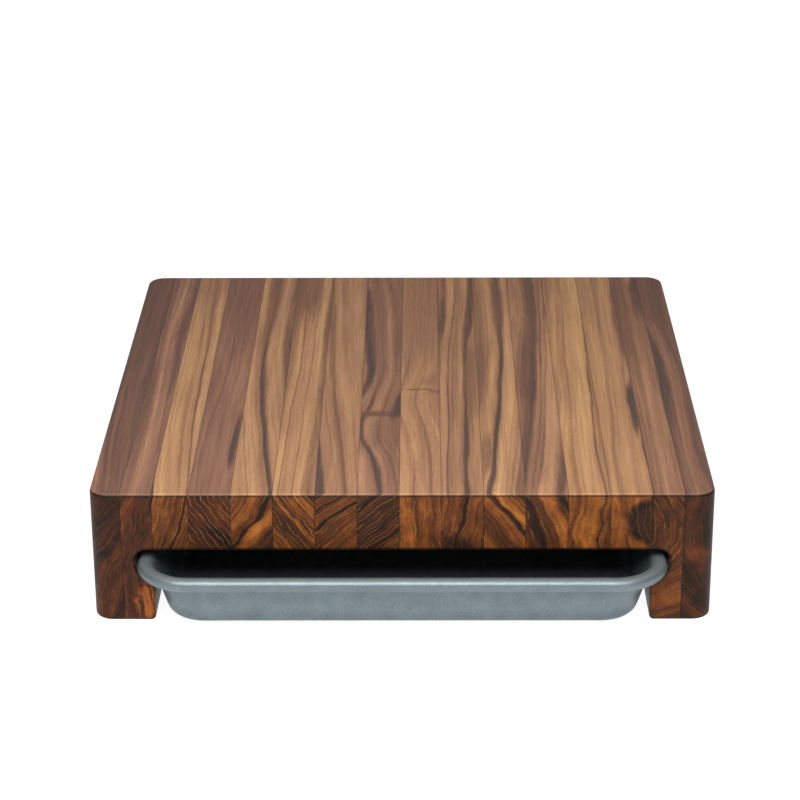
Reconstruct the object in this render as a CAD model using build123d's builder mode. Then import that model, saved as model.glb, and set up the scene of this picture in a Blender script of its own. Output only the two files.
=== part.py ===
from build123d import *
import os
from math import cos, radians, sqrt, tan

# Raised cutting board of teak staves, with an aluminium tray that slides under it.
# Millimetres. X runs across the staves, Y along them, Z up.
# The origin is the middle of the board's footprint, on the worktop.
# The tray is pulled out at the front, towards -Y, or pushed out at the back.

# ---- Tray: a half-size sheet pan ----
tray_width = 330.2
tray_height = 38.6
tray_corner_radius = 33.0
tray_reach = 29.5  # how far it stands out of the board, front and back
wall_angle = 14.5
sheet_thickness = 1.2
base_bend_radius = 9.0

# ---- Tray rim, rolled outwards and under, over a wire ----
bead_radius = 4.2
rim_bend_radius = 6.8  # where the rim's flat leaves room for it
least_rim_flat = 0.2  # from the top of the bead to that bend
curl_angle = 250.0
wire_clearance = 0.1

# ---- How the tray sits in the board ----
tray_floor_gap = 3.0
rim_side_clearance = 1.6
rim_seat_clearance = 0.3
wall_side_clearance = 0.4

# ---- Grooves for the rim, along each leg just under the slab ----
groove_radius = 8.4
ledge_width = 3.6  # from the middle of the round groove to the leg's inner face
ledge_lip_radius = 1.0

# ---- Board ----
board_depth = 391.0
slab_thickness = 38.3
leg_stave_width = 19.4
slab_stave_count = 12
narrow_stave_share = 0.87  # the leftmost slab stave, against the others
corner_radius = 12.0
top_edge_radius = 2.3
low_edge_radius = 2.0
inside_foot_radius = 3.0

# ---- What follows from the sizes ----
groove_end_x = tray_width / 2 + rim_side_clearance
groove_centre_x = groove_end_x - groove_radius
leg_face_x = groove_centre_x - ledge_width
channel_width = 2 * leg_face_x
board_width = channel_width + 4 * leg_stave_width

# The round bead lies against the round groove, low on its outer side.
bead_line_x = tray_width / 2 - bead_radius
bead_reach = groove_radius - bead_radius - rim_seat_clearance
bead_drop = sqrt(bead_reach**2 - (bead_line_x - groove_centre_x) ** 2)
rim_roof_gap = groove_radius + bead_drop - bead_radius

tray_length = board_depth + 2 * tray_reach
rim_top_z = tray_floor_gap + tray_height
channel_height = rim_top_z + rim_roof_gap
groove_centre_z = channel_height - groove_radius
board_height = channel_height + slab_thickness

touch = 0.01  # two places this near are the same place

os.makedirs("parts", exist_ok=True)


# ---- The block: the staves glued up, then cut and rounded as one ----
with BuildPart() as block:
    with BuildSketch(Plane.XY):
        RectangleRounded(board_width, board_depth, corner_radius)
    extrude(amount=board_height)

    # The channel between the legs runs through from front to back. A slot with
    # round ends widens its top into both legs, as the grooves for the rim.
    with BuildSketch(Plane.XZ.offset(-board_depth / 2)):
        with Locations((0, channel_height / 2)):
            Rectangle(channel_width, channel_height)
        with Locations((0, groove_centre_z)):
            SlotOverall(2 * groove_end_x, 2 * groove_radius)
    extrude(amount=board_depth, mode=Mode.SUBTRACT)

    fillet(block.edges().group_by(Axis.Z)[-1], top_edge_radius)

    # The lip of each ledge and the long edge inside each foot.
    leg_face_edges = (
        block.edges()
        .filter_by(Axis.Y)
        .filter_by(lambda edge: abs(abs(edge.center().X) - leg_face_x) < touch)
        .group_by(Axis.Z)
    )
    fillet(leg_face_edges[0], inside_foot_radius)
    fillet(leg_face_edges[1], ledge_lip_radius)

    # The mouths of the channel and the underside of the feet share one rounding.
    mouth_edges = (
        block.edges()
        .filter_by(lambda edge: abs(edge.center().Y) > board_depth / 2 - touch)
        .filter_by(lambda edge: abs(edge.center().X) < groove_end_x)
        .filter_by(lambda edge: touch < edge.center().Z < channel_height + touch)
    )
    foot_edge_x = leg_face_x + inside_foot_radius
    foot_edges = (
        block.edges()
        .filter_by(lambda edge: edge.bounding_box().max.Z < touch)
        .filter_by(lambda edge: abs(edge.center().X) > foot_edge_x + touch)
    )
    fillet(mouth_edges + foot_edges, low_edge_radius)


# ---- Staves: each is what the block holds between two glue lines ----
outer_glue_line = channel_width / 2 + leg_stave_width
stave_unit = channel_width / (slab_stave_count - 1 + narrow_stave_share)

stave_sides = {
    "leg_stave_left_outer": (-board_width / 2, -outer_glue_line),
    "leg_stave_left_inner": (-outer_glue_line, -channel_width / 2),
    "leg_stave_right_inner": (channel_width / 2, outer_glue_line),
    "leg_stave_right_outer": (outer_glue_line, board_width / 2),
}
for number in range(1, slab_stave_count + 1):
    right = channel_width / 2 - (slab_stave_count - number) * stave_unit
    left = max(right - stave_unit, -channel_width / 2)
    stave_sides[f"slab_stave_{number:02d}"] = (left, right)

for name, (left, right) in stave_sides.items():
    with BuildPart() as stave:
        add(block.part)
        with BuildSketch(Plane.XY):
            with Locations(((left + right) / 2, 0)):
                Rectangle(right - left, board_depth)
        extrude(amount=board_height, mode=Mode.INTERSECT)
    stave.part.label = name
    export_step(stave.part, f"parts/{name}.step")


# ---- Tray: one drawn sheet with sloping walls ----
# Insets are measured from the rim's outer edge. The rim is so wide that the wall
# clears the ledge's lip. The wall's inner face meets the top of the rim rim_corner
# in, before that corner is bent round.
slope = tan(radians(wall_angle))
wall_across = sheet_thickness / cos(radians(wall_angle))  # the sheet, cut level
lip_inset = tray_width / 2 - leg_face_x + wall_side_clearance
lip_drop = sqrt(groove_radius**2 - ledge_width**2)
lip_below_rim = bead_radius - bead_drop + lip_drop
rim_corner = lip_inset + wall_across - lip_below_rim * slope
wall_corner_radius = tray_corner_radius - rim_corner
rim_under_z = rim_top_z - sheet_thickness
bend_room = (rim_corner - bead_radius - least_rim_flat) / tan(radians(45 - wall_angle / 2))
top_bend_radius = min(rim_bend_radius, bend_room)
bead_centre_z = rim_top_z - bead_radius
bead_line_y = tray_length / 2 - bead_radius
bead_line_radius = tray_corner_radius - bead_radius


def wall_inset(height):
    """Inset of the wall's inner face at a height."""
    return rim_corner + (rim_top_z - height) * slope


def inside_bead_line(edge, height):
    """Whether a whole edge lies at this height and inside the bead's line."""
    box = edge.bounding_box()
    level = abs(box.min.Z - height) < touch and abs(box.max.Z - height) < touch
    inside_x = max(-box.min.X, box.max.X) < bead_line_x - touch
    inside_y = max(-box.min.Y, box.max.Y) < bead_line_y - touch
    return level and inside_x and inside_y


# The inside of the tray, as a solid to take away.
inside_floor_z = tray_floor_gap + sheet_thickness
with BuildPart() as tray_inside:
    for level in (inside_floor_z, rim_top_z):
        with BuildSketch(Plane.XY.offset(level)):
            RectangleRounded(
                tray_width - 2 * wall_inset(level),
                tray_length - 2 * wall_inset(level),
                wall_corner_radius,
            )
    loft(ruled=True)
    fillet(tray_inside.edges().group_by(Axis.Z)[0], base_bend_radius - sheet_thickness)

# The middle of the bead runs round on one line, drawn here as its right-hand half.
with BuildLine(Plane.XY.offset(bead_centre_z)) as rim_path:
    FilletPolyline(
        (0, -bead_line_y),
        (bead_line_x, -bead_line_y),
        (bead_line_x, bead_line_y),
        (0, bead_line_y),
        radius=bead_line_radius,
    )

# The rim's section at the middle of the front: its x runs in towards the wall.
rim_section = Plane(origin=(0, -bead_line_y, bead_centre_z), x_dir=(0, 1, 0), z_dir=(1, 0, 0))

with BuildPart() as rim_curl:
    with BuildSketch(rim_section):
        with BuildLine():
            curl_outside = CenterArc((0, 0), bead_radius, 90, curl_angle)
            curl_inside = CenterArc((0, 0), bead_radius - sheet_thickness, 90, curl_angle)
            Line(curl_outside @ 0, curl_inside @ 0)
            Line(curl_outside @ 1, curl_inside @ 1)
        make_face()
    sweep(path=rim_path.line)
    mirror(about=Plane.YZ)

with BuildPart() as tray_pan:
    for level in (tray_floor_gap, rim_under_z):
        outer_inset = wall_inset(level) - wall_across
        with BuildSketch(Plane.XY.offset(level)):
            RectangleRounded(
                tray_width - 2 * outer_inset,
                tray_length - 2 * outer_inset,
                wall_corner_radius + sheet_thickness,
            )
    loft(ruled=True)
    fillet(tray_pan.edges().group_by(Axis.Z)[0], base_bend_radius)

    # The flat of the rim, out to the top of the bead, and the bend under it.
    with BuildSketch(Plane.XY.offset(rim_under_z)):
        RectangleRounded(2 * bead_line_x, 2 * bead_line_y, bead_line_radius)
    extrude(amount=sheet_thickness)
    under_bend = tray_pan.edges().filter_by(lambda edge: inside_bead_line(edge, rim_under_z))
    fillet(under_bend, top_bend_radius - sheet_thickness)

    add(tray_inside.part, mode=Mode.SUBTRACT)
    top_bend = tray_pan.edges().filter_by(lambda edge: inside_bead_line(edge, rim_top_z))
    fillet(top_bend, top_bend_radius)
    add(rim_curl.part)
tray_pan.part.label = "tray_pan"
export_step(tray_pan.part, "parts/tray_pan.step")


# ---- Rim wire: one steel rod bent to the tray's outline, inside the bead ----
with BuildPart() as tray_rim_wire:
    with BuildSketch(rim_section):
        Circle(bead_radius - sheet_thickness - wire_clearance)
    sweep(path=rim_path.line)
    mirror(about=Plane.YZ)
tray_rim_wire.part.label = "tray_rim_wire"
export_step(tray_rim_wire.part, "parts/tray_rim_wire.step")
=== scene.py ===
from functools import partial
from math import radians

import bpy
from mathutils import Matrix, Vector


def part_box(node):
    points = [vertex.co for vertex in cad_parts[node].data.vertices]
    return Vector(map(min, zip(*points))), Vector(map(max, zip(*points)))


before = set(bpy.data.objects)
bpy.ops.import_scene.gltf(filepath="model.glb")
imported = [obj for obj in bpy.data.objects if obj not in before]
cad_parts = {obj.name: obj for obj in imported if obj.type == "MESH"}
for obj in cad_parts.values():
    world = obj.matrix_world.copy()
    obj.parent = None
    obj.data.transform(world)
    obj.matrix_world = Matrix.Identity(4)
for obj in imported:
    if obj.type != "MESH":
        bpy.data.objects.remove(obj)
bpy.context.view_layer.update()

# ---- Camera ----
# The photograph looks down on the board from the front, with a long lens, a
# little to the right of the middle. Places are metres, the angles degrees.
FRAME_PIXELS = 800
FOCAL_PIXELS = 2488.1
SENSOR_MM = 36.0
FARTHEST_SEEN = 100.0
CAMERA_PLACE = (0.01138, -1.58176, 0.73263)
CAMERA_YAW = 0.5055  # turned this much to the left of straight ahead
CAMERA_PITCH = 22.801  # looking down
CAMERA_ROLL = 0.2798  # clockwise

camera_data = bpy.data.cameras.new("camera")
camera_data.sensor_width = SENSOR_MM
camera_data.lens = SENSOR_MM * FOCAL_PIXELS / FRAME_PIXELS
camera_data.clip_end = FARTHEST_SEEN
camera = bpy.data.objects.new("camera", camera_data)
camera.matrix_world = (
    Matrix.Translation(CAMERA_PLACE)
    @ Matrix.Rotation(radians(CAMERA_YAW), 4, "Z")
    @ Matrix.Rotation(radians(90.0 - CAMERA_PITCH), 4, "X")
    @ Matrix.Rotation(radians(-CAMERA_ROLL), 4, "Z")
)
bpy.context.scene.collection.objects.link(camera)
bpy.context.scene.camera = camera


# ---- Studio ----
# A light table, as for cut-out photographs: a wide white sheet lit from beneath, which
# leaves hardly any shadow. One softbox stands in front, above the camera, so that the
# board falls off towards its back. The rest of the room is dim. White screens round the
# sheet close the background for a low camera, and light nothing.
FLOOR_HALF = 20.0
SCREEN_HEIGHT = 30.0
SHEET_COLOUR = "#989898"
SHEET_GLOW = 0.92
SHEET_ROUGHNESS = 0.9
SHEET_SPECULAR = 0.1
SOFTBOX_PLACE = (-0.05, -0.9, 0.9)
SOFTBOX_TARGET = (0.0, -0.1, 0.06)
SOFTBOX_SIZE = (1.1, 0.6)
SOFTBOX_WATTS = 17.0
ROOM_STRENGTH = 0.25


def linear(hex_colour):
    """sRGB hex to linear red, green, blue and alpha."""
    parts = [int(hex_colour[i:i + 2], 16) / 255 for i in (1, 3, 5)]
    return [c / 12.92 if c <= 0.04045 else ((c + 0.055) / 1.055) ** 2.4 for c in parts] + [1.0]


def add_node(tree, kind, inputs, output=0, stops=(), points=(), **settings):
    """Add a shader node and return one of its outputs.

    An input is linked to a socket or set to a value. A ramp's stops are (place,
    colour), and a curve's points are its heights, evenly spaced.
    """
    node = tree.nodes.new(kind)
    for name, value in settings.items():
        setattr(node, name, value)
    for key, value in inputs.items():
        if isinstance(value, bpy.types.NodeSocket):
            tree.links.new(value, node.inputs[key])
        else:
            node.inputs[key].default_value = value
    for index, (place, colour) in enumerate(stops):
        elements = node.color_ramp.elements
        stop = elements[index] if index < 2 else elements.new(place)
        stop.position = place
        stop.color = colour
    if points:
        curve = node.mapping.curves[0].points
        curve[0].location = (0.0, points[0])
        curve[1].location = (1.0, points[-1])
        for index, height in enumerate(points[1:-1], start=1):
            curve.new(index / (len(points) - 1), height)
        node.mapping.update()
    return node.outputs[output]


def new_material(name):
    """A material that holds one Principled shader: (material, tree, the shader's inputs)."""
    material = bpy.data.materials.new(name)
    material.use_nodes = True
    tree = material.node_tree
    return material, tree, tree.nodes["Principled BSDF"].inputs


floor_material, _, floor_inputs = new_material("white_acrylic_sheet")
floor_inputs["Base Color"].default_value = linear(SHEET_COLOUR)
floor_inputs["Roughness"].default_value = SHEET_ROUGHNESS
floor_inputs["Specular IOR Level"].default_value = SHEET_SPECULAR
floor_inputs["Emission Color"].default_value = linear("#FFFFFF")
floor_inputs["Emission Strength"].default_value = SHEET_GLOW
floor_corners = [(x * FLOOR_HALF, y * FLOOR_HALF, 0.0) for x, y in ((-1, -1), (1, -1), (1, 1), (-1, 1))]
floor_mesh = bpy.data.meshes.new("floor")
floor_mesh.from_pydata(floor_corners, [], [(0, 1, 2, 3)])
floor_mesh.materials.append(floor_material)
floor = bpy.data.objects.new("floor", floor_mesh)
bpy.context.scene.collection.objects.link(floor)

screen_corners = floor_corners + [(x, y, SCREEN_HEIGHT) for x, y, _ in floor_corners]
screen_mesh = bpy.data.meshes.new("screens")
screen_mesh.from_pydata(screen_corners, [], [(i, (i + 1) % 4, (i + 1) % 4 + 4, i + 4) for i in range(4)])
screen_mesh.materials.append(floor_material)
screens = bpy.data.objects.new("screens", screen_mesh)
screens.visible_diffuse = False
screens.visible_glossy = False
bpy.context.scene.collection.objects.link(screens)

softbox_data = bpy.data.lights.new("softbox", "AREA")
softbox_data.shape = "RECTANGLE"
softbox_data.size, softbox_data.size_y = SOFTBOX_SIZE
softbox_data.energy = SOFTBOX_WATTS
softbox = bpy.data.objects.new("softbox", softbox_data)
softbox_aim = Vector(SOFTBOX_TARGET) - Vector(SOFTBOX_PLACE)
softbox_turn = softbox_aim.to_track_quat("-Z", "Y").to_matrix().to_4x4()
softbox.matrix_world = Matrix.Translation(SOFTBOX_PLACE) @ softbox_turn
softbox.visible_camera = False
bpy.context.scene.collection.objects.link(softbox)

room = bpy.data.worlds.new("room")
room.use_nodes = True
room.node_tree.nodes["Background"].inputs["Color"].default_value = linear("#FFFFFF")
room.node_tree.nodes["Background"].inputs["Strength"].default_value = ROOM_STRENGTH
bpy.context.scene.world = room
bpy.context.scene.view_settings.view_transform = "Standard"


# ---- Slab staves ----
# Twelve lengths of sawn teak, glued side by side with their end grain to the front
# and back, then planed, rounded and oiled as one block. Each was cut from another
# part of the log, so each has its own figure, which runs on through the solid.
#
# A place in a stave is (across, along, down): mm from its left glue line, from its
# front end and from the top. "bands" gives the tone across the front edge of the top,
# 0 the palest and 1 the darkest. "run" is how far the bands have moved to the right at
# evenly spaced places from the front to the back. "lean" and "bend" carry them down the
# end, where they lie down * (lean + bend * down) mm further to the right. "red" is how
# red the stave is, "end" how much darker its end grain is than the rest, and "rings" how
# plainly the year rings show there.
#
# A mark is one streak, patch or knot, and goes with the bands. It has its middle (a
# place in the bands, along, down), its half sizes, its tone, and how strongly it takes
# that tone. Past 1, that makes its edge sharper and smoother.
LONG_GOLDEN = ("#D8AC79", "#C19465", "#A67B57", "#85624A", "#6B5143", "#534844")
LONG_RED = ("#CB9B7B", "#B5856B", "#996F5B", "#7E5A4C", "#664D44", "#504643")
END_GOLDEN = ("#A46625", "#834C1A", "#603512", "#46260F", "#311B0C", "#201108")
END_RED = ("#9A5524", "#783E1B", "#592C13", "#41200F", "#2C170C", "#1E1008")
RING_ON_END = "#A56F34"
RUN_RANGE = 60.0  # mm, all the sideways movement that a curve can hold
CHANNEL_HALF = 0.1669  # m, from the middle to past the ends of the grooves
CHANNEL_DOWN = 38.0  # mm from the top
MM_PER_M = 1000.0
SEED_STEP = 3.7  # keeps the noise of one stave apart from the next one's

# The lumps of each noise in mm, across, along and down. They are long, as wood's cells
# are. Fibres and pores are 0.02 and 0.2 mm wide in real teak, too fine to show, and are
# drawn as coarse as they need.
STREAK_LUMPS = (2.4, 140, 20)
SHADE_LUMPS = (11, 90, 14)
RAGGED_LUMPS = (4, 30, 4)
YEAR_LUMPS = (8, 400, 60)
BREAK_LUMPS = (4, 50, 8)
FIBRE_LUMPS = (0.5, 30, 0.5)
HAIR_LUMPS = (1.1, 120, 1.1)
PORE_LUMPS = (0.5, 4, 0.5)
END_PORE_LUMPS = (0.7, 4, 0.7)
END_SHADE_LUMPS = (6, 30, 9)

# Noise moves the bands by these mm, in these lumps and with these seeds: they wander
# over a hand's width, waver over a finger's, and have ragged edges.
DRIFTS = (
    (7.0, (40, 200, 30), 0.0),
    (7.0, (16, 170, 11), 0.5),
    (2.0, (6, 50, 6), 0.0),
    (1.3, (1.3, 24, 1.3), 0.0),
)

# How much tone each thing adds. Noise adds up to half of it, or takes as much away.
STREAK_TONE = 0.4
SHADE_TONE = 0.35
GLUE_TONE = 0.25
# This tone is painted shade: a dark line along the rounded edges.
EDGE_SHADE_TONE = 0.3
# This tone is painted shade: darker long grain inside the channel.
CHANNEL_SHADE_TONE = 0.5
RING_TONE = 0.1
HAIR_TONE = 0.22
FIBRE_TONE = 0.25
PORE_TONE = 0.18
END_NOISE_TONE = 0.5

MARK_FULL = 0.4  # a mark is full out to this share of its half sizes
MARK_GONE = 1.1  # and has faded out at this one
MARK_RAGGED = 0.7  # how far noise moves its edge, in the same shares
YEAR_MM = 4.0  # one year's growth
YEAR_UNEVEN = 1.8  # how many years noise can shift a ring by, there and back
RING_SHARE = 0.12  # of a year, the thin line where it starts
RING_BROKEN = -0.14  # that line is missing where its noise is under this
RING_WHOLE = 0.04  # and whole where it is over this
GLUE_FULL = 0.1  # mm from the stave's side
GLUE_GONE = 0.5
PORE_STARTS = 0.11  # a pore opens where its noise is over this
PORE_FULL = 0.2

# A face's level is 1 where it is level and 0 where it is upright. The values between
# are on rounded edges.
LONG_GRAIN_LEVEL = 0.8  # from here up, long grain shows
END_GRAIN_LEVEL = 0.5  # from here down, end grain shows, and the painted shade on the edge is full
EDGE_SHADE_LEVEL = 0.3  # as far as here
UPRIGHT_LEVEL = 0.05  # where that has faded out
END_GRAIN_STARTS = 0.06  # how far a side faces the front or back where end grain starts
END_GRAIN_FULL = 0.3  # and where it has taken over

END_CONTRAST = 1.3  # of end grain, against long grain
END_LIFT = 0.1  # keeps that contrast from darkening it
STREAK_REDNESS = 1.6  # streaks are redder, or less red, by up to half of this

# Rubbed oil is satin, and wood scatters more than it mirrors.
OILED_SPECULAR = 0.15
OILED_ROUGHNESS = 0.5
FIBRE_ROUGHNESS = 0.3
RELIEF = 0.00008  # m that fibres stand up
PORE_SUNK = 0.6  # of that
RELIEF_STRENGTH = 0.3

SLAB_STAVES = {
    "slab_stave_01": dict(
        red=0.3, end=0.18, lean=0.0, bend=-0.010, rings=0.6,
        run=(0, -3.5, -7, -7, -7),
        bands=((0, 0.22), (6, 0.2), (9, 0.27), (12, 0.2), (15, 0.3), (17.5, 0.42), (19, 0.3), (21.3, 0.3),
               (22.3, 0.72), (23.4, 0.26), (27, 0.2), (30, 0.32), (34, 0.4)),
        marks=(((1.3, 0, 0), (1.2, 46, 34), 1.0, 1.0), ((22.3, 330, 0), (3, 110, 60), 0.5, 0.7),
               ((12, 390, 0), (30, 70, 60), 0.5, 0.6)),
    ),
    "slab_stave_02": dict(
        red=1.0, end=0.12, lean=0.5, bend=0.004, rings=0.9,
        run=(0, 1, 9, 11, 12),
        bands=((-12, 0.5), (-6, 0.46), (0, 0.48), (2, 0.44), (2.8, 0.64), (3.8, 0.46), (8, 0.42), (11, 0.5),
               (14, 0.4), (17, 0.48), (20, 0.42), (24, 0.5), (27, 0.46)),
        marks=(((22.8, 80, 0), (3.2, 50, 24), 0.95, 0.9), ((2, 0, 29), (6, 16, 9), 0.95, 0.8),
               ((2, 340, 0), (26, 110, 60), 0.62, 0.6)),
    ),
    "slab_stave_03": dict(
        red=0.45, end=0.07, lean=-0.45, bend=-0.007, rings=0.5,
        run=(0, -9, -14.5, -15.5, -14),
        bands=((0, 0.34), (5, 0.3), (10, 0.32), (11, 0.52), (12, 0.24), (15, 0.2), (18, 0.26), (21, 0.42),
               (23.4, 0.5), (24.6, 0.95), (25.8, 0.92), (27.6, 0.4), (30, 0.25), (36, 0.28), (39, 0.5),
               (40, 0.62), (43.5, 0.6), (45, 0.5)),
        marks=(((30.2, 0, 22), (6, 14, 11), 0.05, 0.8), ((24.5, 340, 0), (6, 130, 60), 0.58, 0.85),
               ((4, 380, 0), (14, 130, 60), 0.6, 0.5), ((42, 190, 0), (1.6, 90, 60), 0.9, 0.8)),
    ),
    "slab_stave_04": dict(
        red=0.35, end=0.14, lean=0.73, bend=0.0, rings=0.9,
        run=(0, 3, 5, 6, 7),
        bands=((-8, 0.5), (-5, 0.52), (-1, 0.4), (0.5, 0.2), (2.8, 0.22), (3.5, 0.6), (4.5, 0.3), (8, 0.28),
               (10.6, 0.24), (11.3, 0.5), (12.2, 0.16), (17, 0.22), (19, 0.42), (21, 0.56), (23, 0.5),
               (25, 0.3), (27, 0.24)),
        marks=(((2, 360, 0), (15, 75, 60), 0.62, 0.75), ((20, 310, 0), (3, 130, 30), 0.62, 0.6)),
    ),
    "slab_stave_05": dict(
        red=0.45, end=0.16, lean=-1.7, bend=0.012, rings=0.6,
        run=(0, -8.5, -15, -18, -20),
        bands=((0, 0.72), (3, 0.85), (5.5, 0.82), (7.5, 0.28), (12, 0.26), (13.4, 0.44), (14.6, 0.3),
               (17, 0.36), (18.4, 0.56), (20.3, 0.6), (21.8, 0.34), (25, 0.27), (31, 0.34), (37, 0.27),
               (42, 0.36), (46, 0.42)),
        marks=(((-14, 260, 0), (3, 130, 60), 0.62, 0.7), ((35, 0, 14), (2.6, 30, 15), 0.85, 1.0)),
    ),
    "slab_stave_06": dict(
        red=0.75, end=0.22, lean=-1.2, bend=0.0, rings=0.8,
        run=(0, -3.5, -12, -6.5, 0.5, 0, -1, -3.5, -8),
        bands=((-8, 0.5), (0, 0.38), (3, 0.3), (7, 0.34), (9, 0.46), (11, 0.5), (12.4, 0.85), (13.6, 0.8),
               (14.6, 0.5), (16.5, 0.36), (19, 0.38), (21.5, 0.45), (23.2, 0.66), (24.4, 0.55), (26, 0.52),
               (34, 0.48)),
        marks=(((12.5, 290, 0), (5, 170, 60), 0.5, 1.0), ((4.6, 265, 0), (4.4, 150, 26), 0.98, 0.95),
               ((9, 290, 0), (7, 110, 60), 0.56, 0.6), ((22, 126, 0), (27, 6, 20), 0.72, 0.85),
               ((34, 145, 0), (6, 30, 18), 0.95, 0.95), ((3, 45, 0), (6, 50, 30), 0.16, 0.7)),
    ),
    "slab_stave_07": dict(
        red=0.45, end=0.12, lean=0.15, bend=0.0, rings=0.6,
        run=(0, -0.5, -3, -8, -3, 0, 0, 0, 0),
        bands=((-8, 0.4), (0, 0.16), (4, 0.18), (6.5, 0.3), (7.8, 0.44), (9, 0.3), (14, 0.26), (17.5, 0.34),
               (19, 0.48), (20.5, 0.3), (24, 0.3), (30, 0.38), (36, 0.3)),
        marks=(((13, 350, 0), (60, 190, 200), 0.47, 0.75), ((19, 168, 0), (13, 2.2, 10), 0.6, 0.8),
               ((32, 164, 0), (7, 2.4, 10), 0.68, 0.8), ((28, 186, 0), (12, 14, 10), 0.52, 0.5)),
    ),
    "slab_stave_08": dict(
        red=0.4, end=0.06, lean=-0.25, bend=0.0, rings=0.3,
        run=(0, 0.5, 2, 5.5, 7),
        bands=((-6, 0.44), (-2, 0.5), (0, 0.28), (4.6, 0.26), (5.7, 0.6), (7, 0.36), (9, 0.46), (11, 0.32),
               (14, 0.36), (15.6, 0.46), (16.7, 0.9), (17.9, 0.82), (19, 0.42), (24, 0.34), (26, 0.38)),
        marks=(((20.5, 185, 0), (5.5, 90, 30), 0.55, 0.9), ((17, 345, 0), (3.4, 110, 40), 0.78, 0.85),
               ((-3, 298, 0), (3.4, 50, 30), 0.78, 0.9), ((17, 0, 36), (12, 16, 10), 0.82, 0.9)),
    ),
    "slab_stave_09": dict(
        red=0.35, end=0.03, lean=1.0, bend=-0.006, rings=0.5,
        run=(0, 8, 12, 13.5, 13),
        bands=((-14, 0.55), (-10, 0.52), (-7, 0.36), (-1, 0.28), (1.4, 0.38), (2.6, 0.8), (4.2, 0.95),
               (5.6, 0.3), (8, 0.12), (12.5, 0.22), (14, 0.4), (15.5, 0.24), (18, 0.44), (20, 0.34),
               (21.7, 0.66), (24.5, 0.64), (26, 0.4)),
        marks=(((-9.5, 180, 0), (5, 95, 30), 0.62, 0.85), ((-2, 60, 0), (5, 40, 20), 0.56, 0.8),
               ((3.6, 340, 0), (5, 110, 60), 0.62, 0.8), ((12, 340, 0), (5, 120, 60), 0.45, 0.6)),
    ),
    "slab_stave_10": dict(
        red=0.5, end=0.04, lean=0.37, bend=0.0, rings=0.4,
        run=(0, 8.2, 13.5, 18.5, 20),
        bands=((-22, 0.42), (-13, 0.38), (-9, 0.5), (-6, 0.62), (-3, 0.8), (-1.2, 0.88), (0.4, 0.6),
               (1.6, 0.42), (3, 0.46), (4.6, 0.56), (5.8, 0.38), (7.6, 0.5), (9.2, 0.2), (15, 0.22),
               (17.5, 0.42), (19.5, 0.72), (21, 0.78), (22.5, 0.48), (26, 0.4)),
        marks=(((-2, 330, 0), (6, 120, 60), 0.7, 0.7),),
    ),
    "slab_stave_11": dict(
        red=0.2, end=0.07, lean=-0.14, bend=0.0, rings=0.3,
        run=(0, -0.9, 2.3, 4, 5),
        bands=((-6, 0.42), (-2, 0.38), (1, 0.26), (4.5, 0.32), (6.5, 0.46), (8.5, 0.3), (11, 0.24),
               (15, 0.17), (20.5, 0.22), (21.6, 0.34), (22.4, 0.7), (23.4, 0.38), (27, 0.42)),
        marks=(),
    ),
    "slab_stave_12": dict(
        red=0.35, end=0.03, lean=0.1, bend=0.0, rings=0.3,
        run=(0, 1, 3, 5, 7),
        bands=((-7, 0.38), (0, 0.3), (4, 0.26), (6.5, 0.38), (8, 0.42), (9.7, 0.28), (15, 0.24), (19, 0.28),
               (23, 0.3), (27, 0.5)),
        marks=(((23, 138, 0), (2.6, 52, 20), 0.95, 0.95), ((25.6, 55, 0), (1.2, 110, 20), 0.85, 0.9),
               ((20.5, 310, 0), (3, 140, 40), 0.68, 0.8), ((27, 0, 20), (19.5, 22, 17), 1.0, 3.0),
               ((28, 0, 19.5), (17.5, 20, 14.8), 0.7, 3.0)),
    ),
}


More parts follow.
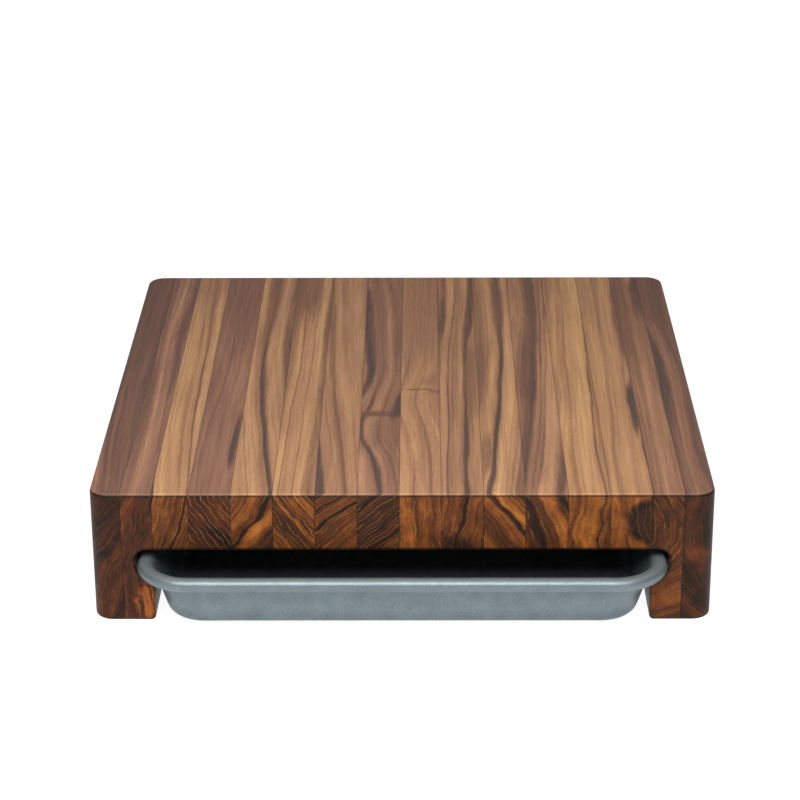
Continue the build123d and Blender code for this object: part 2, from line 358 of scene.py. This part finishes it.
def teak(stave, number, red, end, lean, bend, rings, run, bands, marks):
    """The teak of one stave, in the solid.

    The band coordinate is across - run(along) - down * (lean + bend * down), plus slow
    noise in mm. Its tone is read off the bands. Marks, year rings, fibres and pores
    change the tone, and the tone picks the colour, of long grain or of end grain.
    """
    low, high = (corner * MM_PER_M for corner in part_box(stave))
    material, tree, surface = new_material(f"oiled_teak_{stave}")
    add = partial(add_node, tree)

    def noise(where, lumps, detail=1.0, seed=0.0):
        """Noise around 0, from -0.5 to 0.5, in lumps of these sizes in mm."""
        per_lump = {0: where, 1: [1 / size for size in lumps]}
        scaled = add("ShaderNodeVectorMath", per_lump, operation="MULTIPLY")
        field = {"Vector": scaled, "W": number * SEED_STEP + seed, "Scale": 1.0, "Detail": detail}
        height = add("ShaderNodeTexNoise", field, noise_dimensions="4D")
        return add("ShaderNodeMath", {0: height, 1: 0.5}, operation="SUBTRACT")

    place = add("ShaderNodeTexCoord", {}, "Object")
    to_stave = {0: place, 1: (MM_PER_M, MM_PER_M, -MM_PER_M), 2: (-low.x, -low.y, high.z)}
    cell = add("ShaderNodeVectorMath", to_stave, operation="MULTIPLY_ADD")
    across, along, down = add("ShaderNodeSeparateXYZ", {0: cell}).node.outputs

    # Noise, the run to the back and the lean down the end each move the bands.
    moved = 0.0
    for reach, lumps, seed in DRIFTS:
        drift = noise(cell, lumps, seed=seed)
        moved = add("ShaderNodeMath", {0: drift, 1: reach, 2: moved}, operation="MULTIPLY_ADD")
    share = add("ShaderNodeMath", {0: along, 1: high.y - low.y}, operation="DIVIDE")
    run_curve = add("ShaderNodeFloatCurve", {"Value": share}, points=[0.5 + mm / RUN_RANGE for mm in run])
    run_here = add("ShaderNodeMath", {0: run_curve, 1: 0.5}, operation="SUBTRACT")
    moved = add("ShaderNodeMath", {0: run_here, 1: -RUN_RANGE, 2: moved}, operation="MULTIPLY_ADD")
    slope = add("ShaderNodeMath", {0: down, 1: -bend, 2: -lean}, operation="MULTIPLY_ADD")
    moved = add("ShaderNodeMath", {0: slope, 1: down, 2: moved}, operation="MULTIPLY_ADD")
    band = add("ShaderNodeMath", {0: across, 1: moved}, operation="ADD")
    grain = add("ShaderNodeCombineXYZ", {0: band, 1: along, 2: down})

    # Past its ends the list of bands is read backwards again.
    first, last = bands[0][0], bands[-1][0]
    place_in_bands = add("ShaderNodeMapRange", {0: band, 1: first, 2: last}, clamp=False)
    folded = add("ShaderNodeMath", {0: place_in_bands, 1: 1.0}, operation="PINGPONG")
    band_stops = [((mm - first) / (last - first), (tone, tone, tone, 1.0)) for mm, tone in bands]
    tone = add("ShaderNodeValToRGB", {0: folded}, stops=band_stops)

    # Streaks 2 mm wide and a hand long, and wide faint shades.
    streaks = noise(grain, STREAK_LUMPS, 3.0, 1.1)
    tone = add("ShaderNodeMath", {0: streaks, 1: STREAK_TONE, 2: tone}, operation="MULTIPLY_ADD")
    shades = noise(cell, SHADE_LUMPS, 2.0, 2.2)
    tone = add("ShaderNodeMath", {0: shades, 1: SHADE_TONE, 2: tone}, operation="MULTIPLY_ADD")

    # Each mark's reach is 0 at its middle and 1 at its half sizes.
    ragged = noise(cell, RAGGED_LUMPS, 2.0, 3.3)
    for middle, half_sizes, mark_tone, share_taken in marks:
        centred = {"Vector": grain, "Location": middle, "Scale": half_sizes}
        inside = add("ShaderNodeMapping", centred, vector_type="TEXTURE")
        reach = add("ShaderNodeVectorMath", {0: inside}, "Value", operation="LENGTH")
        roughened = {0: ragged, 1: MARK_RAGGED / max(share_taken, 1.0), 2: reach}
        reach = add("ShaderNodeMath", roughened, operation="MULTIPLY_ADD")
        fade = {0: reach, 1: MARK_GONE, 2: MARK_FULL, 3: 0.0, 4: share_taken}
        mask = add("ShaderNodeMapRange", fade, interpolation_type="SMOOTHSTEP")
        tone = add("ShaderNodeMix", {0: mask, 2: tone, 3: mark_tone})

    # Year rings: a thin line where each year starts, broken here and there.
    uneven = noise(grain, YEAR_LUMPS, 0.0, 4.4)
    uneven = add("ShaderNodeMath", {0: uneven, 1: YEAR_UNEVEN}, operation="MULTIPLY")
    years = add("ShaderNodeMath", {0: band, 1: 1 / YEAR_MM, 2: uneven}, operation="MULTIPLY_ADD")
    season = add("ShaderNodeMath", {0: years}, operation="FRACT")
    ring = add("ShaderNodeMapRange", {0: season, 1: 0.0, 2: RING_SHARE, 3: 1.0, 4: 0.0})
    breaks = noise(grain, BREAK_LUMPS, 1.0, 5.5)
    unbroken = add("ShaderNodeMapRange", {0: breaks, 1: RING_BROKEN, 2: RING_WHOLE})
    ring = add("ShaderNodeMath", {0: ring, 1: unbroken}, operation="MULTIPLY")

    # The glue line is a dark hair between two staves.
    from_right = add("ShaderNodeMath", {0: high.x - low.x, 1: across}, operation="SUBTRACT")
    from_side = add("ShaderNodeMath", {0: across, 1: from_right}, operation="MINIMUM")
    fade = {0: from_side, 1: GLUE_FULL, 2: GLUE_GONE, 3: GLUE_TONE, 4: 0.0}
    glue = add("ShaderNodeMapRange", fade)
    tone = add("ShaderNodeMath", {0: tone, 1: glue}, operation="ADD")

    # The first half of a rounded edge, above or below, still shows long grain. Where it
    # has turned past that, a dark line is painted on: painted shade of the edge turning from the light.
    facing = add("ShaderNodeNewGeometry", {}, "Normal")
    _, facing_end, facing_up = add("ShaderNodeSeparateXYZ", {0: facing}).node.outputs
    level = add("ShaderNodeMath", {0: facing_up}, operation="ABSOLUTE")
    past_round = add("ShaderNodeMapRange", {0: level, 1: LONG_GRAIN_LEVEL, 2: END_GRAIN_LEVEL})
    not_upright = add("ShaderNodeMapRange", {0: level, 1: UPRIGHT_LEVEL, 2: EDGE_SHADE_LEVEL})
    edge_shade = add("ShaderNodeMath", {0: past_round, 1: not_upright}, operation="MULTIPLY")
    tone = add("ShaderNodeMath", {0: edge_shade, 1: EDGE_SHADE_TONE, 2: tone}, operation="MULTIPLY_ADD")

    # The channel and its grooves are painted darker: painted shade, where the slab and legs keep the light
    # out.
    sideways = add("ShaderNodeSeparateXYZ", {0: place}, "X")
    from_middle = add("ShaderNodeMath", {0: sideways}, operation="ABSOLUTE")
    between_legs = add("ShaderNodeMath", {0: from_middle, 1: CHANNEL_HALF}, operation="LESS_THAN")
    under_slab = add("ShaderNodeMath", {0: down, 1: CHANNEL_DOWN}, operation="GREATER_THAN")
    channel_shade = add("ShaderNodeMath", {0: between_legs, 1: under_slab}, operation="MULTIPLY")

    # Long grain shows fibres, hairs and pores.
    fibres = noise(cell, FIBRE_LUMPS, 2.0)
    hairs = noise(cell, HAIR_LUMPS, 2.0, 9.9)
    pores = noise(cell, PORE_LUMPS, 1.0, 6.6)
    pores = add("ShaderNodeMapRange", {0: pores, 1: PORE_STARTS, 2: PORE_FULL})
    # The first layer is the painted shade inside the channel.
    layers = [(channel_shade, CHANNEL_SHADE_TONE), (ring, RING_TONE), (hairs, HAIR_TONE)]
    layers += [(fibres, FIBRE_TONE), (pores, PORE_TONE)]
    long_tone = tone
    for layer, strength in layers:
        long_tone = add("ShaderNodeMath", {0: layer, 1: strength, 2: long_tone}, operation="MULTIPLY_ADD")

    # End grain soaks up more oil, and is darker and stronger in colour. Its pores are
    # cut across, and its rings catch the light as pale lines.
    contrasted = {0: tone, 1: END_CONTRAST, 2: end - END_LIFT}
    end_tone = add("ShaderNodeMath", contrasted, operation="MULTIPLY_ADD")
    for lumps, seed in ((END_PORE_LUMPS, 7.7), (END_SHADE_LUMPS, 8.8)):
        mottle = {0: noise(cell, lumps, 2.0, seed), 1: END_NOISE_TONE, 2: end_tone}
        end_tone = add("ShaderNodeMath", mottle, operation="MULTIPLY_ADD")

    # The tone picks a colour from each ramp, and the redness mixes the golden and the red.
    reddened = {0: streaks, 1: STREAK_REDNESS, 2: red}
    redness = add("ShaderNodeMath", reddened, operation="MULTIPLY_ADD", use_clamp=True)
    grains = []
    for grain_tone, hex_ramps in ((long_tone, (LONG_GOLDEN, LONG_RED)), (end_tone, (END_GOLDEN, END_RED))):
        golden, reddish = (
            add(
                "ShaderNodeValToRGB",
                {0: grain_tone},
                stops=[(index / (len(ramp) - 1), linear(value)) for index, value in enumerate(ramp)],
            )
            for ramp in hex_ramps
        )
        grains.append(add("ShaderNodeMix", {0: redness, 6: golden, 7: reddish}, 2, data_type="RGBA"))
    long_grain, end_grain = grains
    pale = add("ShaderNodeMath", {0: ring, 1: rings}, operation="MULTIPLY")
    end_grain = add("ShaderNodeMix", {0: pale, 6: end_grain, 7: linear(RING_ON_END)}, 2, data_type="RGBA")
    facing_end = add("ShaderNodeMath", {0: facing_end}, operation="ABSOLUTE")
    cut_across = add("ShaderNodeMapRange", {0: facing_end, 1: END_GRAIN_STARTS, 2: END_GRAIN_FULL})
    cut_across = add("ShaderNodeMath", {0: cut_across, 1: past_round}, operation="MULTIPLY")
    colour = add("ShaderNodeMix", {0: cut_across, 6: long_grain, 7: end_grain}, 2, data_type="RGBA")
    tree.links.new(colour, surface["Base Color"])

    surface["Specular IOR Level"].default_value = OILED_SPECULAR
    satin = {0: fibres, 1: FIBRE_ROUGHNESS, 2: OILED_ROUGHNESS}
    roughness = add("ShaderNodeMath", satin, operation="MULTIPLY_ADD")
    tree.links.new(roughness, surface["Roughness"])
    relief = add("ShaderNodeMath", {0: pores, 1: -PORE_SUNK, 2: fibres}, operation="MULTIPLY_ADD")
    raised = {"Height": relief, "Strength": RELIEF_STRENGTH, "Distance": RELIEF}
    tree.links.new(add("ShaderNodeBump", raised), surface["Normal"])
    return material


for number, (stave, figure) in enumerate(SLAB_STAVES.items(), start=1):
    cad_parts[stave].material_slots[0].material = teak(stave, number, **figure)


# ---- Leg staves ----
# Four full-height staves of the same teak, two at each side. They are the legs, and
# are glued on with the slab's staves. The inner ones are grooved for the tray's rim.
LEG_STAVES = {
    "leg_stave_left_outer": dict(
        red=0.9, end=0.09, lean=-1.1, bend=0.006, rings=0.22,
        run=(0, -4, -6, -6, -6),
        bands=((-4, 0.5), (0, 0.48), (2.5, 0.4), (5, 0.58), (8, 0.74), (11, 0.54), (13, 0.72), (15, 0.58),
               (19, 0.64), (26, 0.72)),
        marks=(((4, 280, 0), (24, 210, 90), 0.8, 0.5), ((-1, 60, 0), (2, 60, 20), 0.3, 0.8)),
    ),
    "leg_stave_left_inner": dict(
        red=0.9, end=0.12, lean=-0.45, bend=0.004, rings=0.25,
        run=(0, 1, 1, 1, 2),
        bands=((-3, 0.52), (0, 0.55), (4, 0.56), (6, 0.38), (9, 0.32), (11, 0.42), (13.5, 0.42),
               (15.5, 0.55), (17.5, 0.5), (19.4, 0.46)),
        marks=(((16, 290, 0), (3.4, 150, 60), 0.72, 0.85), ((0, 200, 0), (2.2, 200, 60), 0.7, 0.7),
               ((25, 0, 74), (9, 24, 15), 0.04, 1.0), ((21, 0, 80), (1.3, 24, 12), 0.7, 0.8),
               ((27.5, 0, 70), (0.9, 24, 12), 0.5, 0.7)),
    ),
    "leg_stave_right_inner": dict(
        red=0.6, end=0.1, lean=0.9, bend=-0.020, rings=0.5,
        run=(0, 0, 0, 1, 2),
        bands=((-3, 0.52), (0, 0.52), (3, 0.48), (6, 0.52), (8, 0.4), (11, 0.34), (13, 0.44), (16, 0.42),
               (19.4, 0.52)),
        marks=(((15.5, 350, 0), (5.5, 58, 30), 0.92, 0.95), ((19.3, 200, 0), (1.5, 120, 30), 0.85, 0.9),
               ((2, 310, 0), (9, 140, 30), 0.66, 0.85), ((12, 300, 0), (14, 90, 40), 0.58, 0.5),
               ((45, 0, 70), (30, 24, 14), 0.2, 0.8)),
    ),
    "leg_stave_right_outer": dict(
        red=0.8, end=0.04, lean=-0.5, bend=0.010, rings=0.15,
        run=(0, -4, -6, -7, -8),
        bands=((-3, 0.66), (0, 0.76), (2.5, 0.7), (6, 0.6), (10, 0.5), (14, 0.56), (17, 0.66), (20, 0.74),
               (28, 0.6)),
        marks=(((13.4, 0, 42), (12, 20, 9), 0.4, 0.8), ((6.5, 195, 0), (4.2, 105, 40), 0.92, 0.85),
               ((4, 360, 0), (40, 90, 90), 0.72, 0.5)),
    ),
}
for number, (stave, figure) in enumerate(LEG_STAVES.items(), start=len(SLAB_STAVES) + 1):
    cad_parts[stave].material_slots[0].material = teak(stave, number, **figure)


# ---- Tray ----
# One sheet of aluminium, drawn to shape and tumbled. Its surface is bare, dull and
# faintly pitted, and its chalky oxide scatters part of the light as paint does. The floor and
# the top of the rim are painted lighter, a painted highlight, and the wall's foot is painted darker, a
# painted contact shadow.
# The dull colour is the unworn metal, and also the painted shade at the wall's foot.
ALUMINIUM_DULL_AND_SHADED = "#59656A"
ALUMINIUM_RUBBED = "#828F92"
# A painted highlight: the colour that faces looking up are lightened towards.
ALUMINIUM_TOP_HIGHLIGHT = "#A5AFAF"
METAL_SHARE = 0.6  # the rest is the oxide
CLOUD_MM = 14.0
CLOUD_WEAR = 0.5
PIT_MM = 0.9  # real pits are 0.1 mm, drawn as coarse as they need to show
PIT_WEAR = 0.7
FOOT_LOW = 0.003  # m above the worktop, where the painted shade at the wall's foot is darkest
FOOT_HIGH = 0.015  # where that painted shade has faded out
FOOT_SHADE = -0.35
DULL_WEAR = 0.25  # the wear at which the metal is still dull
RUBBED_WEAR = 0.95  # and at which it is rubbed bright
TOP_HIGHLIGHT_FROM = 0.6  # how much a face looks up where the painted highlight starts
TOP_HIGHLIGHT_TO = 0.97  # and where it is strongest
BARE_ROUGHNESS = 0.54
WEAR_POLISH = 0.15
PIT_RELIEF = 0.0001  # m
PIT_STRENGTH = 0.25

aluminium, tree, surface = new_material("tumbled_aluminium")
add = partial(add_node, tree)
place = add("ShaderNodeTexCoord", {}, "Object")
height = add("ShaderNodeSeparateXYZ", {0: place}, "Z")
clouds = add("ShaderNodeTexNoise", {"Vector": place, "Scale": MM_PER_M / CLOUD_MM, "Detail": 3.0})
pits = add("ShaderNodeTexNoise", {"Vector": place, "Scale": MM_PER_M / PIT_MM, "Detail": 2.0})

# Wear picks the colour and polishes the metal a little. At the foot the value is lowered, which paints the
# wall darker there: painted shade, as of a contact shadow.
foot_shade = add("ShaderNodeMapRange", {0: height, 1: FOOT_LOW, 2: FOOT_HIGH, 3: FOOT_SHADE, 4: 0.0})
wear_and_foot_shade = add("ShaderNodeMath", {0: clouds, 1: CLOUD_WEAR, 2: foot_shade}, operation="MULTIPLY_ADD")
wear_and_foot_shade = add("ShaderNodeMath", {0: pits, 1: PIT_WEAR, 2: wear_and_foot_shade}, operation="MULTIPLY_ADD")
rubbed_stops = [(DULL_WEAR, linear(ALUMINIUM_DULL_AND_SHADED)), (RUBBED_WEAR, linear(ALUMINIUM_RUBBED))]
colour = add("ShaderNodeValToRGB", {0: wear_and_foot_shade}, stops=rubbed_stops)

# What faces up is painted lighter as well, more where the wear is high: a painted highlight, as of light
# from above.
facing = add("ShaderNodeNewGeometry", {}, "Normal")
upward = add("ShaderNodeSeparateXYZ", {0: facing}, "Z")
top_highlight = add("ShaderNodeMapRange", {0: upward, 1: TOP_HIGHLIGHT_FROM, 2: TOP_HIGHLIGHT_TO, 3: 0.0, 4: 1.0})
top_highlight = add("ShaderNodeMath", {0: top_highlight, 1: wear_and_foot_shade}, operation="MULTIPLY")
top_highlight_colour = {0: top_highlight, 6: colour, 7: linear(ALUMINIUM_TOP_HIGHLIGHT)}
colour = add("ShaderNodeMix", top_highlight_colour, 2, data_type="RGBA")
tree.links.new(colour, surface["Base Color"])
surface["Metallic"].default_value = METAL_SHARE
polished = {0: wear_and_foot_shade, 1: -WEAR_POLISH, 2: BARE_ROUGHNESS}
roughness = add("ShaderNodeMath", polished, operation="MULTIPLY_ADD")
tree.links.new(roughness, surface["Roughness"])
bump = add("ShaderNodeBump", {"Height": pits, "Strength": PIT_STRENGTH, "Distance": PIT_RELIEF})
tree.links.new(bump, surface["Normal"])
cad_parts["tray_pan"].material_slots[0].material = aluminium


# ---- Rim wire ----
# A steel rod bent to the tray's outline, which stiffens the rolled rim from inside.
# Drawn through a die, it is bright, with faint grey patches left by the drawing soap.
WIRE_BRIGHT = "#C4C6C8"
WIRE_GREY = "#8E9194"
PATCH_MM = 2.5
DRAWN_ROUGHNESS = 0.3

wire_steel, tree, surface = new_material("drawn_steel_wire")
add = partial(add_node, tree)
place = add("ShaderNodeTexCoord", {}, "Object")
patches = add("ShaderNodeTexNoise", {"Vector": place, "Scale": MM_PER_M / PATCH_MM, "Detail": 2.0})
patch_stops = [(0.3, linear(WIRE_GREY)), (0.7, linear(WIRE_BRIGHT))]
colour = add("ShaderNodeValToRGB", {0: patches}, stops=patch_stops)
tree.links.new(colour, surface["Base Color"])
surface["Metallic"].default_value = 1.0
surface["Roughness"].default_value = DRAWN_ROUGHNESS
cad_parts["tray_rim_wire"].material_slots[0].material = wire_steel
